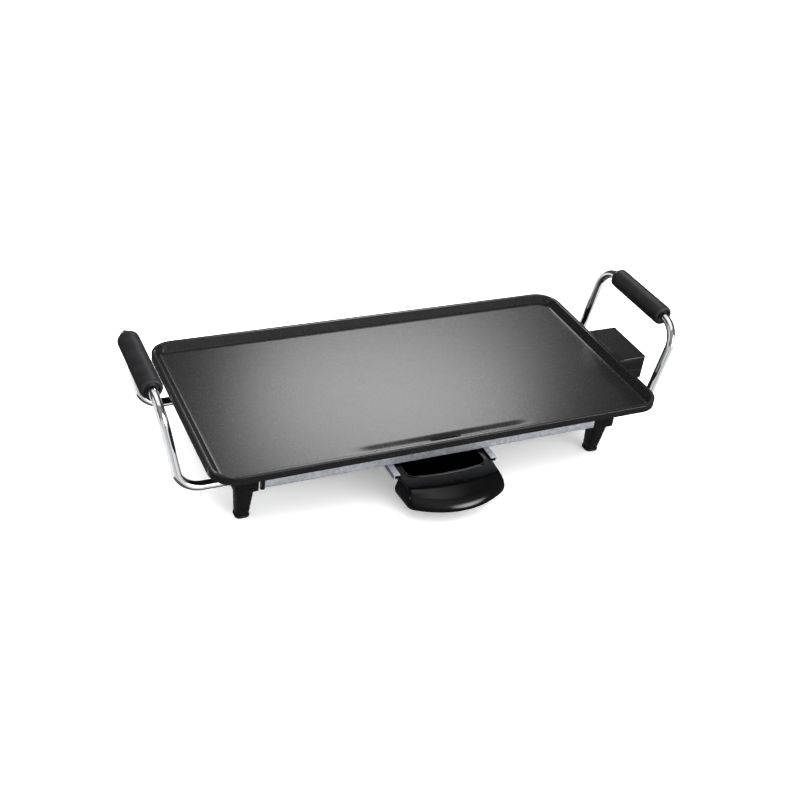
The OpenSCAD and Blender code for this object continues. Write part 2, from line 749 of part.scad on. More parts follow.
griddle_plate();
heating_element();
contact_pins();
pin_bushings();
probe_sleeve();
base_pan();
base_pan_screws();
edge_clips();
foot(-1, -1);  // foot_front_left
foot(1, -1);  // foot_front_right
foot(-1, 1);  // foot_back_left
foot(1, 1);  // foot_back_right
foot_pad(-1, -1);  // pad_front_left
foot_pad(1, -1);  // pad_front_right
foot_pad(-1, 1);  // pad_back_left
foot_pad(1, 1);  // pad_back_right
foot_screws();
handle_rod_left();
handle_rod_right();
grip(-1);  // grip_left
grip(1);  // grip_right
socket_lower_shell();
socket_upper_shell();
socket_lid();
socket_screws();
shell_screws();
earth_contact();
tray_rail(-1);  // tray_rail_left
tray_rail(1);  // tray_rail_right
rail_rivets();
drip_tray();
tray_handle();
tray_screws();
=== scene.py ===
import json
import math
import bmesh
import bpy
from mathutils import Matrix, Vector

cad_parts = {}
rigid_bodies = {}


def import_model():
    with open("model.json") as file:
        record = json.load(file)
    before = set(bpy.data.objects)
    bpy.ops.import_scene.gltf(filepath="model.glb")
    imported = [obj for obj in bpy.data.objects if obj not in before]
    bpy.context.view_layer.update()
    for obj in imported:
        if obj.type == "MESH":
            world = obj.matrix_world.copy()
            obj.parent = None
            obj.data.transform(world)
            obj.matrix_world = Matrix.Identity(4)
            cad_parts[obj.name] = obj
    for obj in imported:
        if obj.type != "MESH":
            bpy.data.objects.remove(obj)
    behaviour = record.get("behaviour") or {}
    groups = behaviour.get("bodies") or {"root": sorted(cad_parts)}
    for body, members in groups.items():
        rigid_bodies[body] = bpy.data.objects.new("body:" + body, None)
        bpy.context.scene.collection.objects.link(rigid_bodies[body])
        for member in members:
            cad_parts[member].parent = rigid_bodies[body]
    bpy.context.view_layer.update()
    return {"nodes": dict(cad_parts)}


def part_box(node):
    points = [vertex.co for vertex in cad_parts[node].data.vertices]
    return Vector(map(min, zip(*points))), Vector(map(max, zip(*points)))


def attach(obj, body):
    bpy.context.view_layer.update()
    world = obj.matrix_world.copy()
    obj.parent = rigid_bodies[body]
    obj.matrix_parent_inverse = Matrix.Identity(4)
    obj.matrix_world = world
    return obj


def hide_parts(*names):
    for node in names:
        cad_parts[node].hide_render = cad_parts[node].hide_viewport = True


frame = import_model()
mm = 0.001
scene = bpy.context.scene
print("frame loaded")


# small helpers
def linear(hexColour):
    parts = [int(hexColour[i:i + 2], 16) / 255 for i in (1, 3, 5)]
    return [c / 12.92 if c < 0.04045 else ((c + 0.055) / 1.055) ** 2.4 for c in parts] + [1]


def addNode(tree, kind, settings=None, **inputs):
    # adds one node, sets its settings, and fills or links its inputs by name or by number
    node = tree.nodes.new(kind)
    for key, value in (settings or {}).items():
        setattr(node, key, value)
    for key, value in inputs.items():
        socket = node.inputs[int(key[1:])] if key[0] == "_" else node.inputs[key.replace("_", " ")]
        if isinstance(value, bpy.types.NodeSocket):
            tree.links.new(value, socket)
        else:
            socket.default_value = value
    return node


def boxOf(node):
    low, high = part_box(node)
    return [v / mm for v in low], [v / mm for v in high]


def middle(low, high):
    return [(a + b) / 2 for a, b in zip(low, high)]


def smooth(low, high, value):
    t = min(max((value - low) / (high - low), 0), 1)
    return t * t * (3 - 2 * t)


def roundedPath(corners, steps=5):
    # corners are (a, b, radius); each inner one becomes an arc
    points = []
    for i, (a, b, radius) in enumerate(corners):
        here = Vector((a, b))
        if radius <= 0 or i in (0, len(corners) - 1):
            points.append(here)
            continue
        back = (Vector(corners[i - 1][:2]) - here).normalized()
        ahead = (Vector(corners[i + 1][:2]) - here).normalized()
        half = back.angle(ahead) / 2
        reach = radius / math.tan(half)
        centre = here + (back + ahead).normalized() * radius / math.sin(half)
        start = here + back * reach - centre
        turn = start.angle_signed(here + ahead * reach - centre)
        for k in range(steps + 1):
            angle = -turn * k / steps
            spun = Vector((start.x * math.cos(angle) - start.y * math.sin(angle),
                           start.x * math.sin(angle) + start.y * math.cos(angle)))
            points.append(centre + spun)
    return points


def roundedLoop(left, right, front, back, radius, steps=6):
    # a closed rounded rectangle, seen from above, as (x, y) pairs
    loop = []
    for cx, cy, start in ((right - radius, front + radius, -90), (right - radius, back - radius, 0),
                          (left + radius, back - radius, 90), (left + radius, front + radius, 180)):
        for k in range(steps + 1):
            angle = math.radians(start + 90 * k / steps)
            loop.append((cx + radius * math.cos(angle), cy + radius * math.sin(angle)))
    return loop


def skin(rings, joinEnds=False):
    # faces over rings of equal length, each a closed loop; the ends are capped or joined
    count = len(rings[0])
    verts = [p for ring in rings for p in ring]
    faces = []
    last = len(rings) if joinEnds else len(rings) - 1
    for i in range(last):
        low, high = i * count, (i + 1) % len(rings) * count
        faces += [(low + j, low + (j + 1) % count, high + (j + 1) % count, high + j)
                  for j in range(count)]
    if not joinEnds:
        faces.append(tuple(reversed(range(count))))
        faces.append(tuple(range(len(verts) - count, len(verts))))
    return verts, faces


def turned(profile, place, steps):
    # a closed loop of (radius, distance) pairs spun about the Y direction through place
    rings = []
    for k in range(steps):
        angle = 2 * math.pi * k / steps
        c, s = math.cos(angle), math.sin(angle)
        rings.append([(place[0] + r * s, place[1] + t, place[2] + r * c) for r, t in profile])
    return skin(rings, joinEnds=True)


def boxMesh(low, high):
    loop = [(low[0], low[1]), (high[0], low[1]), (high[0], high[1]), (low[0], high[1])]
    return skin([[(x, y, z) for x, y in loop] for z in (low[2], high[2])])


def rod(start, end, radius, steps=40):
    a, b = Vector(start), Vector(end)
    turn = (b - a).to_track_quat("Z", "Y").to_matrix()
    rings = [[tuple(p + turn @ Vector((radius * math.cos(t), radius * math.sin(t), 0)))
              for t in (2 * math.pi * k / steps for k in range(steps))] for p in (a, b)]
    return skin(rings)


def newObject(name, verts, faces, material=None):
    # millimetres in, a closed mesh in metres with outward faces out
    mesh = bpy.data.meshes.new(name)
    mesh.from_pydata([[c * mm for c in v] for v in verts], [], faces)
    work = bmesh.new()
    work.from_mesh(mesh)
    bmesh.ops.remove_doubles(work, verts=work.verts, dist=1e-6)
    bmesh.ops.recalc_face_normals(work, faces=work.faces)
    work.to_mesh(mesh)
    work.free()
    piece = bpy.data.objects.new(name, mesh)
    scene.collection.objects.link(piece)
    if material:
        mesh.materials.append(material)
    return piece


def baked(piece):
    # turns the modified piece into a plain mesh and drops its modifiers
    bpy.context.view_layer.update()
    graph = bpy.context.evaluated_depsgraph_get()
    old = piece.data
    mesh = bpy.data.meshes.new_from_object(piece.evaluated_get(graph), depsgraph=graph)
    piece.modifiers.clear()
    piece.data = mesh
    mesh.name = piece.name
    if old.users == 0:
        bpy.data.meshes.remove(old)
    return piece


def carve(piece, cuts=(), joins=()):
    # exact booleans with throw-away tools
    tools = []
    for operation, shapes in (("UNION", joins), ("DIFFERENCE", cuts)):
        for verts, faces in shapes:
            tool = newObject("tool", verts, faces)
            tools.append(tool)
            change = piece.modifiers.new("shape", "BOOLEAN")
            change.operation, change.solver, change.object = operation, "EXACT", tool
    baked(piece)
    for tool in tools:
        mesh = tool.data
        bpy.data.objects.remove(tool)
        bpy.data.meshes.remove(mesh)
    return piece


def easeEdges(piece, width, minimum=2.5, angle=30, segments=3):
    # rounds the long hard edges only, so that small holes stay crisp
    work = bmesh.new()
    work.from_mesh(piece.data)
    bmesh.ops.dissolve_limit(work, angle_limit=0.002, verts=work.verts, edges=work.edges)
    edges = [e for e in work.edges if len(e.link_faces) == 2 and e.calc_length() > minimum * mm
             and e.calc_face_angle() > math.radians(angle)]
    bmesh.ops.bevel(work, geom=edges, offset=width * mm, segments=segments, profile=0.5,
                    affect="EDGES", clamp_overlap=True)
    bmesh.ops.recalc_face_normals(work, faces=work.faces)
    work.to_mesh(piece.data)
    work.free()
    return piece


def shade(piece, angle=35):
    piece.data.shade_smooth()
    piece.data.set_sharp_from_angle(angle=math.radians(angle))
    return piece


def finished(piece, material, body, slotName, *nodes):
    piece.data.materials.clear()
    piece.data.materials.append(material)
    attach(piece, body)
    if nodes:
        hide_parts(*nodes)
    return piece


def mirroredX(points):
    return [(-x, y, z) for x, y, z in points]


# finishes
def newFinish(name):
    material = bpy.data.materials.new(name)
    material.use_nodes = True
    tree = material.node_tree
    tree.nodes.clear()
    shader = addNode(tree, "ShaderNodeBsdfPrincipled")
    addNode(tree, "ShaderNodeOutputMaterial", Surface=shader.outputs[0])
    place = addNode(tree, "ShaderNodeTexCoord").outputs["Object"]
    return material, tree, shader, place


def grain(tree, place, size, detail=2.0, stretch=None):
    # noise whose blotches are about size millimetres across
    if stretch:
        place = addNode(tree, "ShaderNodeMapping", _0=place, Scale=stretch).outputs[0]
    return addNode(tree, "ShaderNodeTexNoise", None, Vector=place, Scale=1 / (size * mm),
                   Detail=detail, Roughness=0.5).outputs[0]


def ramp(tree, value, low, high, lowColour, highColour):
    share = addNode(tree, "ShaderNodeMapRange", None, Value=value, From_Min=low, From_Max=high)
    mix = addNode(tree, "ShaderNodeMix", {"data_type": "RGBA"}, _0=share.outputs[0],
                  _6=lowColour, _7=highColour)
    return mix.outputs[2]


def spread(tree, value, low, high, outLow, outHigh):
    return addNode(tree, "ShaderNodeMapRange", None, Value=value, From_Min=low, From_Max=high,
                   To_Min=outLow, To_Max=outHigh).outputs[0]


def bump(tree, shader, height, depth, strength):
    # depth is in millimetres
    node = addNode(tree, "ShaderNodeBump", None, Height=height, Distance=depth * mm,
                   Strength=strength)
    tree.links.new(node.outputs[0], shader.inputs["Normal"])


def setShader(shader, **values):
    for key, value in values.items():
        shader.inputs[key.replace("_", " ")].default_value = value


def link(tree, output, shader, name):
    tree.links.new(output, shader.inputs[name])


def mottled(name, tone, rough, peel, **values):
    # tone and rough start with a grain's size and detail, then its low and high ends and what
    # they give; peel is a bump's size, detail, depth and strength
    material, tree, shader, place = newFinish(name)
    size, detail, low, high, dark, light = tone
    colour = ramp(tree, grain(tree, place, size, detail), low, high, linear(dark), linear(light))
    link(tree, colour, shader, "Base Color")
    if rough:
        size, detail, low, high, least, most = rough
        dull = spread(tree, grain(tree, place, size, detail), low, high, least, most)
        link(tree, dull, shader, "Roughness")
    setShader(shader, **values)
    size, detail, depth, strength = peel
    bump(tree, shader, grain(tree, place, size, detail), depth, strength)
    return material


def makeFinishes():
    out = {}

    # sprayed PTFE coat over shot-blasted cast aluminium: dark satin with a fine grey fleck
    material, tree, shader, place = newFinish("spray-coated cast aluminium")
    fleck = addNode(tree, "ShaderNodeTexVoronoi", {"feature": "F1"}, Vector=place,
                    Scale=1 / (1.3 * mm))
    fleckMask = spread(tree, fleck.outputs["Distance"], 0.16, 0.3, 1, 0)
    cloud = grain(tree, place, 26, 3)
    base = ramp(tree, cloud, 0.35, 0.65, linear("#1e1e1f"), linear("#222223"))
    pick = spread(tree, grain(tree, place, 3.5, 2), 0.45, 0.6, 0, 1)
    amount = addNode(tree, "ShaderNodeMath", {"operation": "MULTIPLY"}, _0=fleckMask, _1=pick)
    colour = addNode(tree, "ShaderNodeMix", {"data_type": "RGBA"}, _0=amount.outputs[0],
                     _6=base, _7=linear("#3f3f42"))
    link(tree, colour.outputs[2], shader, "Base Color")
    link(tree, spread(tree, grain(tree, place, 1.1, 3), 0.3, 0.7, 0.2, 0.25), shader, "Roughness")
    setShader(shader, IOR=1.5)
    bump(tree, shader, grain(tree, place, 0.8, 2), 0.006, 0.7)
    out["coat"] = material

    # drawn steel rod, nickel and chrome plated and polished: a clean mirror with the faintest haze
    material, tree, shader, place = newFinish("chrome-plated steel")
    setShader(shader, Base_Color=linear("#e4e5e7"), Metallic=1.0)
    link(tree, spread(tree, grain(tree, place, 7, 3), 0.35, 0.7, 0.03, 0.09), shader, "Roughness")
    bump(tree, shader, grain(tree, place, 9, 2), 0.02, 0.4)
    out["chrome"] = material

    # moulded silicone sleeve: matt black with a fine leathery skin
    material, tree, shader, place = newFinish("moulded silicone rubber")
    skinTone = ramp(tree, grain(tree, place, 9, 3), 0.35, 0.65,
                    linear("#2a2a2c"), linear("#333335"))
    link(tree, skinTone, shader, "Base Color")
    link(tree, spread(tree, grain(tree, place, 1.4, 2), 0.3, 0.7, 0.42, 0.56), shader, "Roughness")
    setShader(shader, IOR=1.42)
    pores = addNode(tree, "ShaderNodeTexVoronoi", {"feature": "SMOOTH_F1"}, Vector=place,
                    Scale=1 / (0.8 * mm))
    bump(tree, shader, pores.outputs["Distance"], 0.04, 0.5)
    out["grip"] = material

    # compression-moulded phenolic: deep black, polished by the mould, with a slight orange peel
    out["phenolic"] = mottled(
        "moulded phenolic resin", (12, 3, 0.3, 0.7, "#0b0b0b", "#101011"),
        (2.2, 3, 0.3, 0.7, 0.2, 0.32), (3.2, 2, 0.05, 0.35), IOR=1.6)

    # hot-dip galvanised sheet: bluish grey metal with faint fine-grained spangle
    material, tree, shader, place = newFinish("galvanised steel sheet")
    spangle = addNode(tree, "ShaderNodeTexVoronoi", {"feature": "F1"}, Vector=place,
                      Scale=1 / (3.2 * mm))
    tint = ramp(tree, spangle.outputs["Color"], 0.2, 0.8, linear("#a7abb2"), linear("#c0c4ca"))
    link(tree, tint, shader, "Base Color")
    setShader(shader, Metallic=0.5)
    dull = addNode(tree, "ShaderNodeTexNoise", None, Vector=place, Scale=1 / (0.7 * mm),
                   Detail=3.0).outputs[0]
    link(tree, spread(tree, dull, 0.3, 0.7, 0.3, 0.42), shader, "Roughness")
    rolled = grain(tree, place, 0.9, 2, (0.12, 1, 1))
    bump(tree, shader, rolled, 0.005, 0.5)
    out["galvanised"] = material

    # high-gloss ABS from a polished mould: near-black, with very shallow long flow waves
    out["gloss"] = mottled(
        "gloss moulded ABS", (30, 2, 0.3, 0.7, "#070708", "#0b0b0d"),
        (5, 3, 0.3, 0.7, 0.12, 0.18), (16, 2, 0.05, 0.3), IOR=1.53)

    # glass-filled nylon from a spark-eroded mould: dark grey with an even fine sand texture
    out["nylon"] = mottled(
        "textured glass-filled nylon", (10, 3, 0.3, 0.7, "#19191a", "#202021"),
        (1.0, 2, 0.3, 0.7, 0.2, 0.26), (0.7, 2, 0.01, 0.6), IOR=1.53)

    # soft EPDM pad: dull black with mould speckle
    out["pad"] = mottled(
        "EPDM rubber", (4, 3, 0.3, 0.7, "#161616", "#1f1f1f"), None, (0.8, 2, 0.06, 0.6),
        Roughness=0.72, IOR=1.5)

    # glazed steatite: off-white with a soft glaze and a few specks
    out["steatite"] = mottled(
        "glazed steatite", (3, 4, 0.45, 0.75, "#e4e0d6", "#cfc8b8"), None, (1.2, 2, 0.03, 0.4),
        Roughness=0.28, IOR=1.52)

    # small plated and drawn metal parts: colour, roughness, and fine turning marks
    for key, name, low, high, rough in (
            ("zinc", "zinc-plated steel", "#b9bcc0", "#cfd1d2", 0.26),
            ("nickel", "nickel-plated brass", "#c9c3b4", "#d8d4c8", 0.14),
            ("brass", "rolled spring brass", "#c2974a", "#d3ad62", 0.24),
            ("sheath", "drawn stainless tube", "#807b73", "#958f86", 0.36)):
        out[key] = mottled(name, (4, 3, 0.3, 0.7, low, high),
                           (0.8, 2, 0.3, 0.7, rough - 0.06, rough + 0.08),
                           (0.6, 2, 0.015, 0.5), Metallic=1.0)
    return out


finish = makeFinishes()
print("finishes made:", len(finish))


# cast plate
plate = {
    "cornerRadius": 24, "rimWidth": 4.5, "wallRun": 5.5, "depth": 7.4, "skirt": 8.1,
    "floorThickness": 3.6, "underStep": 6, "wallFillet": 2.8, "rimOuterRound": 0.7,
    "rimInnerRound": 1.6, "drainLength": 28, "drainWidth": 7, "drainX": -4,
    "edgeRound": 0.7, "edgeReach": 2.0, "spoutDrop": 1.5, "spoutWall": 2.5,
    "floorCorner": 5.5, "rimCorner": 17, "flatInset": 3.6, "flatCorner": 3.5,
}
gutter = {
    "length": 190, "depth": 0.9, "farEdge": 10.5, "nearEdge": 1.5, "endFade": 22, "endOver": 3,
    "shallowShare": 0.62, "deepReach": 34, "wallFade": 3.2,
}
# the plate's mesh: columns as shares of the half width, rows in millimetres
weave = {"fine": 0.0045, "coarse": 0.0165, "fineReach": 24, "arc": 14, "nearStep": 0.75,
         "nearRows": 15, "farRows": 26, "spare": 12}


def gutterDrop(x, y, height, slot):
    # how far the coated surface sinks: a shallow trough that deepens towards the slot
    across = smooth(slot["y"] + gutter["farEdge"], slot["y"] + gutter["nearEdge"], y)
    aside, end = abs(x - slot["x"]), gutter["length"] / 2
    along = 1 - smooth(end - gutter["endFade"], end + gutter["endOver"], aside)
    least = gutter["shallowShare"]
    deeper = least + (1 - least) * math.exp(-(aside / gutter["deepReach"]) ** 2)
    drop = gutter["depth"] * across * along * deeper
    away = math.hypot(max(aside - slot["run"], 0), y - slot["y"]) - slot["radius"]
    edge = min(max(1 - away / plate["edgeReach"], 0), 1)
    drop += plate["edgeRound"] * edge * edge
    return drop * (1 - smooth(0.0, gutter["wallFade"], height))


def makePlate():
    low, high = boxOf("griddle_plate")
    top, centreX, centreY = high[2], (low[0] + high[0]) / 2, (low[1] + high[1]) / 2
    coreX = (high[0] - low[0]) / 2 - plate["cornerRadius"]
    coreY = (high[1] - low[1]) / 2 - plate["cornerRadius"]
    floorZ = top - plate["depth"]
    underZ = floorZ - plate["floorThickness"]
    skirtZ = top - plate["skirt"]
    outer = plate["cornerRadius"]
    inner = outer - plate["rimWidth"]
    foot = inner - plate["wallRun"]
    slot = {"x": centreX + plate["drainX"], "y": centreY - coreY - foot + plate["drainWidth"] / 2,
            "radius": plate["drainWidth"] / 2,
            "run": (plate["drainLength"] - plate["drainWidth"]) / 2}
    flatRadius = foot - plate["flatInset"]

    def cornerAt(radius):
        # the corners tighten from the rim down to the floor
        if radius < inner:
            share = smooth(foot - 1, inner, radius)
            return plate["floorCorner"] * (1 - share) + plate["rimCorner"] * share
        return plate["rimCorner"] + (outer - plate["rimCorner"]) * min((radius - inner) / 2, 1)

    # columns are close together near the drain slot, rows near the front wall
    columns = []
    x = -1.0
    while x < 1 - 1e-6:
        columns.append(x)
        near = abs(x * coreX - plate["drainX"]) < weave["fineReach"]
        x += weave["fine"] if near else weave["coarse"]
    columns.append(1.0)
    arc = [math.radians(90 - 90 * k / weave["arc"]) for k in range(weave["arc"] + 1)]
    straight = [-coreY + weave["nearStep"] * k for k in range(1, weave["nearRows"] + 1)]
    step = (2 * coreY - weave["spare"]) / weave["farRows"]
    straight += [straight[-1] + step * k for k in range(1, weave["farRows"])]
    rows = [(-coreY, t, -1) for t in arc] + [(y, 0.0, 0) for y in straight if y < coreY - 3]
    rows += [(coreY, t, 1) for t in reversed(arc)]

    def floorPoint(x, y):
        wx, wy = centreX + x, centreY + y
        return (wx, wy, floorZ - gutterDrop(wx, wy, 0, slot))

    verts = []
    bend = flatRadius - plate["flatCorner"]
    widen, deepen = (coreX + bend) / coreX, (coreY + bend) / coreY
    for y, turn, side in rows:
        half = coreX * widen + (flatRadius - bend) * math.cos(turn)
        level = y * deepen + side * (flatRadius - bend) * math.sin(turn)
        verts += [floorPoint(u * half, level) for u in columns]
    wide, tall = len(columns), len(rows)
    faces = [(j * wide + i, j * wide + i + 1, (j + 1) * wide + i + 1, (j + 1) * wide + i)
             for j in range(tall - 1) for i in range(wide - 1)]

    # the outline of the floor, anticlockwise, each point with its foot on the core rectangle
    rim = [(i, (u * coreX, -coreY), (0, -1)) for i, u in enumerate(columns)]
    rim += [(j * wide + wide - 1, (coreX, rows[j][0]),
             (math.cos(rows[j][1]), rows[j][2] * math.sin(rows[j][1]))) for j in range(1, tall - 1)]
    rim += [((tall - 1) * wide + i, (columns[i] * coreX, coreY), (0, 1))
            for i in reversed(range(wide))]
    rim += [(j * wide, (-coreX, rows[j][0]),
             (-math.cos(rows[j][1]), rows[j][2] * math.sin(rows[j][1])))
            for j in reversed(range(1, tall - 1))]

    section = roundedPath([
        (flatRadius, floorZ, 0), (foot, floorZ, plate["wallFillet"]),
        (inner, top, plate["rimInnerRound"]), (outer, top, plate["rimOuterRound"]),
        (outer, skirtZ, 0.9), (outer - plate["underStep"], skirtZ, 0.8),
        (outer - plate["underStep"], underZ, 1.2), (foot - 4, underZ, 0)], 6)
    ring = [index for index, _, _ in rim]
    passedTop = False
    for radius, z in section[1:]:
        passedTop = passedTop or radius > outer - 1
        corner = radius if passedTop else cornerAt(radius)
        bend = radius - corner
        widen, deepen = (coreX + bend) / coreX, (coreY + bend) / coreY
        fresh = []
        for _, base, way in rim:
            wx = centreX + base[0] * widen + way[0] * corner
            wy = centreY + base[1] * deepen + way[1] * corner
            drop = gutterDrop(wx, wy, z - floorZ, slot) if z > underZ + 2 and radius < inner else 0
            fresh.append(len(verts))
            verts.append((wx, wy, z - drop))
        for k in range(len(ring)):
            n = (k + 1) % len(ring)
            faces.append((ring[k], ring[n], fresh[n], fresh[k]))
        ring = fresh
    faces.append(tuple(ring))
    body = newObject("cast_plate", verts, faces)

    # a collar under the slot, then the slot itself
    def capsule(radius, z0, z1):
        loop = []
        for side in (1, -1):
            for k in range(25):
                angle = math.radians(-90 + 180 * k / 24)
                loop.append((slot["x"] + side * (slot["run"] + radius * math.cos(angle)),
                             slot["y"] + side * radius * math.sin(angle)))
        return skin([[(x, y, z) for x, y in loop] for z in (z0, z1)])

    carve(body, cuts=[capsule(slot["radius"], underZ - 9, top)],
          joins=[capsule(slot["radius"] + plate["spoutWall"], underZ - plate["spoutDrop"],
                         underZ + 1)])
    shade(body, 32)
    finished(body, finish["coat"], "griddle", "nonstick_casting", "griddle_plate")
    return {"underZ": underZ, "centreY": centreY, "top": top}


plateFacts = makePlate()
plateY = plateFacts["centreY"]
print("plate cast")


# geometry nodes
def newTree(name, sockets):
    tree = bpy.data.node_groups.new(name, "GeometryNodeTree")
    tree.interface.new_socket("Geometry", in_out="INPUT", socket_type="NodeSocketGeometry")
    for label, kind in sockets:
        tree.interface.new_socket(label, in_out="INPUT", socket_type="NodeSocket" + kind)
    tree.interface.new_socket("Geometry", in_out="OUTPUT", socket_type="NodeSocketGeometry")
    return tree, addNode(tree, "NodeGroupInput")


def closeTree(tree, given, shape):
    real = addNode(tree, "GeometryNodeRealizeInstances", None, Geometry=shape)
    painted = addNode(tree, "GeometryNodeSetMaterial", None, Geometry=real.outputs[0],
                      Material=given.outputs["Material"])
    addNode(tree, "NodeGroupOutput", None, Geometry=painted.outputs[0])


def grown(name, points, edges, tree, values):
    # runs a tree on a few points or a path and keeps the plain mesh
    mesh = bpy.data.meshes.new(name)
    mesh.from_pydata([[c * mm for c in p] for p in points], edges, [])
    piece = bpy.data.objects.new(name, mesh)
    scene.collection.objects.link(piece)
    change = piece.modifiers.new("grow", "NODES")
    change.node_group = tree
    for item in tree.interface.items_tree:
        if item.in_out == "INPUT" and item.name in values:
            change[item.identifier] = values[item.name]
    baked(piece)
    work = bmesh.new()
    work.from_mesh(piece.data)
    bmesh.ops.remove_doubles(work, verts=work.verts, dist=1e-6)
    bmesh.ops.recalc_face_normals(work, faces=work.faces)
    work.to_mesh(piece.data)
    work.free()
    return shade(piece)


def makeTubeTree():
    # a round or flattened bar along a path
    tree, given = newTree("bar along a path", [("Width", "Float"), ("Height", "Float"),
                                               ("Material", "Material")])
    curve = addNode(tree, "GeometryNodeMeshToCurve", None, Mesh=given.outputs["Geometry"])
    circle = addNode(tree, "GeometryNodeCurvePrimitiveCircle", {"mode": "RADIUS"},
                     Resolution=40, Radius=0.5)
    size = addNode(tree, "ShaderNodeCombineXYZ", None, X=given.outputs["Width"],
                   Y=given.outputs["Height"], Z=1.0)
    profile = addNode(tree, "GeometryNodeTransform", None, Geometry=circle.outputs[0],
                      Scale=size.outputs[0])
    bar = addNode(tree, "GeometryNodeCurveToMesh", None, Curve=curve.outputs[0],
                  Profile_Curve=profile.outputs[0], Fill_Caps=True)
    closeTree(tree, given, bar.outputs[0])
    return tree


def makeHeadTree():
    # a domed head with a cross recess on every point
    tree, given = newTree("fastener heads", [
        ("Diameter", "Float"), ("Height", "Float"), ("Turn", "Vector"), ("Socket", "Float"),
        ("Material", "Material")])
    ball = addNode(tree, "GeometryNodeMeshUVSphere", None, Segments=32, Rings=16, Radius=1.0)

    def times(label, factor):
        return addNode(tree, "ShaderNodeMath", {"operation": "MULTIPLY"},
                       _0=given.outputs[label], _1=factor)

    half, arm, depth = times("Diameter", 0.5), times("Socket", 0.26), times("Height", 1.1)
    size = addNode(tree, "ShaderNodeCombineXYZ", None, X=half.outputs[0], Y=half.outputs[0],
                   Z=given.outputs["Height"])
    dome = addNode(tree, "GeometryNodeTransform", None, Geometry=ball.outputs["Mesh"],
                   Scale=size.outputs[0])
    lift = addNode(tree, "ShaderNodeCombineXYZ", None, Z=given.outputs["Height"])
    shapes = []
    for x, y in ((given.outputs["Socket"], arm.outputs[0]),
                 (arm.outputs[0], given.outputs["Socket"])):
        bar = addNode(tree, "ShaderNodeCombineXYZ", None, X=x, Y=y, Z=depth.outputs[0])
        cube = addNode(tree, "GeometryNodeMeshCube", None, Size=bar.outputs[0])
        raised = addNode(tree, "GeometryNodeTransform", None, Geometry=cube.outputs["Mesh"],
                         Translation=lift.outputs[0])
        shapes.append(raised.outputs[0])
    cut = dome.outputs[0]
    for shape in shapes:
        node = addNode(tree, "GeometryNodeMeshBoolean",
                       {"operation": "DIFFERENCE", "solver": "EXACT"})
        tree.links.new(cut, node.inputs["Mesh 1"])
        tree.links.new(shape, node.inputs["Mesh 2"])
        cut = node.outputs[0]
    places = addNode(tree, "GeometryNodeMeshToPoints", None, Mesh=given.outputs["Geometry"])
    spun = addNode(tree, "GeometryNodeInstanceOnPoints", None, Points=places.outputs[0],
                   Instance=cut, Rotation=given.outputs["Turn"])
    closeTree(tree, given, spun.outputs[0])
    return tree


tubeTree = makeTubeTree()
headTree = makeHeadTree()

# handle rods
handle = {"lean": 11.3, "rodDiameter": 9.0, "upperBend": 24, "lowerBend": 25, "arcSteps": 20}
rodLow, rodHigh = boxOf("handle_rod_right")
gripLow, gripHigh = boxOf("grip_right")
gripX, _, gripZ = middle(gripLow, gripHigh)
footReach = (rodHigh[1] - rodLow[1]) / 2 - handle["rodDiameter"] / 2
runZ = rodLow[2] + handle["rodDiameter"] / 2


def rodPath():
    lean = math.radians(handle["lean"])
    up, low = handle["upperBend"], handle["lowerBend"]
    leg = (gripZ - runZ - low + low * math.sin(lean)) / math.cos(lean)
    turn = Matrix.Rotation(lean, 3, "Y")
    half = []
    steps = handle["arcSteps"]
    # in the leaning frame, from the foot up to the grip bar
    lowCentre = Vector((-low, 0, -leg))
    sweep = math.pi / 2 - lean
    end = lowCentre + low * Vector((math.cos(sweep), 0, -math.sin(sweep)))
    run = turn @ end
    half.append(Vector((rodLow[0] - gripX, -footReach, run.z)))
    for k in range(steps, -1, -1):
        angle = sweep * k / steps
        around = low * Vector((math.cos(angle), 0, -math.sin(angle)))
        half.append(turn @ (lowCentre + around + Vector((0, -footReach, 0))))
    for k in range(0, steps + 1):
        angle = math.pi / 2 * k / steps
        half.append(turn @ Vector((0, -footReach + up - up * math.cos(angle),
                                   -up + up * math.sin(angle))))
    whole = half + [Vector((p.x, -p.y, p.z)) for p in reversed(half)]
    return [(p.x + gripX, p.y + plateY, p.z + gripZ) for p in whole]


for side, path in (("right", rodPath()), ("left", mirroredX(rodPath()))):
    links = [(i, i + 1) for i in range(len(path) - 1)]
    wire = grown("handle_rod_" + side + "_polished", path, links, tubeTree,
                 {"Width": handle["rodDiameter"] * mm, "Height": handle["rodDiameter"] * mm,
                  "Material": finish["chrome"]})
    finished(wire, finish["chrome"], "griddle", "chromed_rod", "handle_rod_" + side)
print("rods bent")

# grips
grip = {"edgeRound": 2.6, "recessDiameter": 14.5, "recessDepth": 3.0, "recessRound": 1.0,
        "mouthRound": 0.6, "fitGap": 0.05, "endLength": 8, "bands": 8, "steps": 72}


def makeGrip(side):
    low, high = boxOf("grip_" + side)
    place = middle(low, high)
    radius = (high[0] - low[0]) / 2
    half = (high[1] - low[1]) / 2
    bore = handle["rodDiameter"] / 2 + grip["fitGap"]
    recess = grip["recessDiameter"] / 2
    end = [(bore, half - grip["recessDepth"], 0), (bore + 0.02, half - grip["recessDepth"], 0),
           (recess, half - grip["recessDepth"], grip["recessRound"]),
           (recess, half, grip["mouthRound"]),
           (radius, half, grip["edgeRound"]), (radius, half - grip["endLength"], 0)]
    upper = roundedPath(end, 6)[1:]
    profile = [(p.x, p.y) for p in upper]
    straight = half - grip["endLength"]
    profile += [(radius, straight - 2 * straight * k / grip["bands"])
                for k in range(1, grip["bands"])]
    profile += [(p.x, -p.y) for p in reversed(upper)]
    piece = newObject("grip_" + side + "_sleeve", *turned(profile, place, grip["steps"]))
    finished(shade(piece, 40), finish["grip"], "griddle", "grip_sleeve", "grip_" + side)


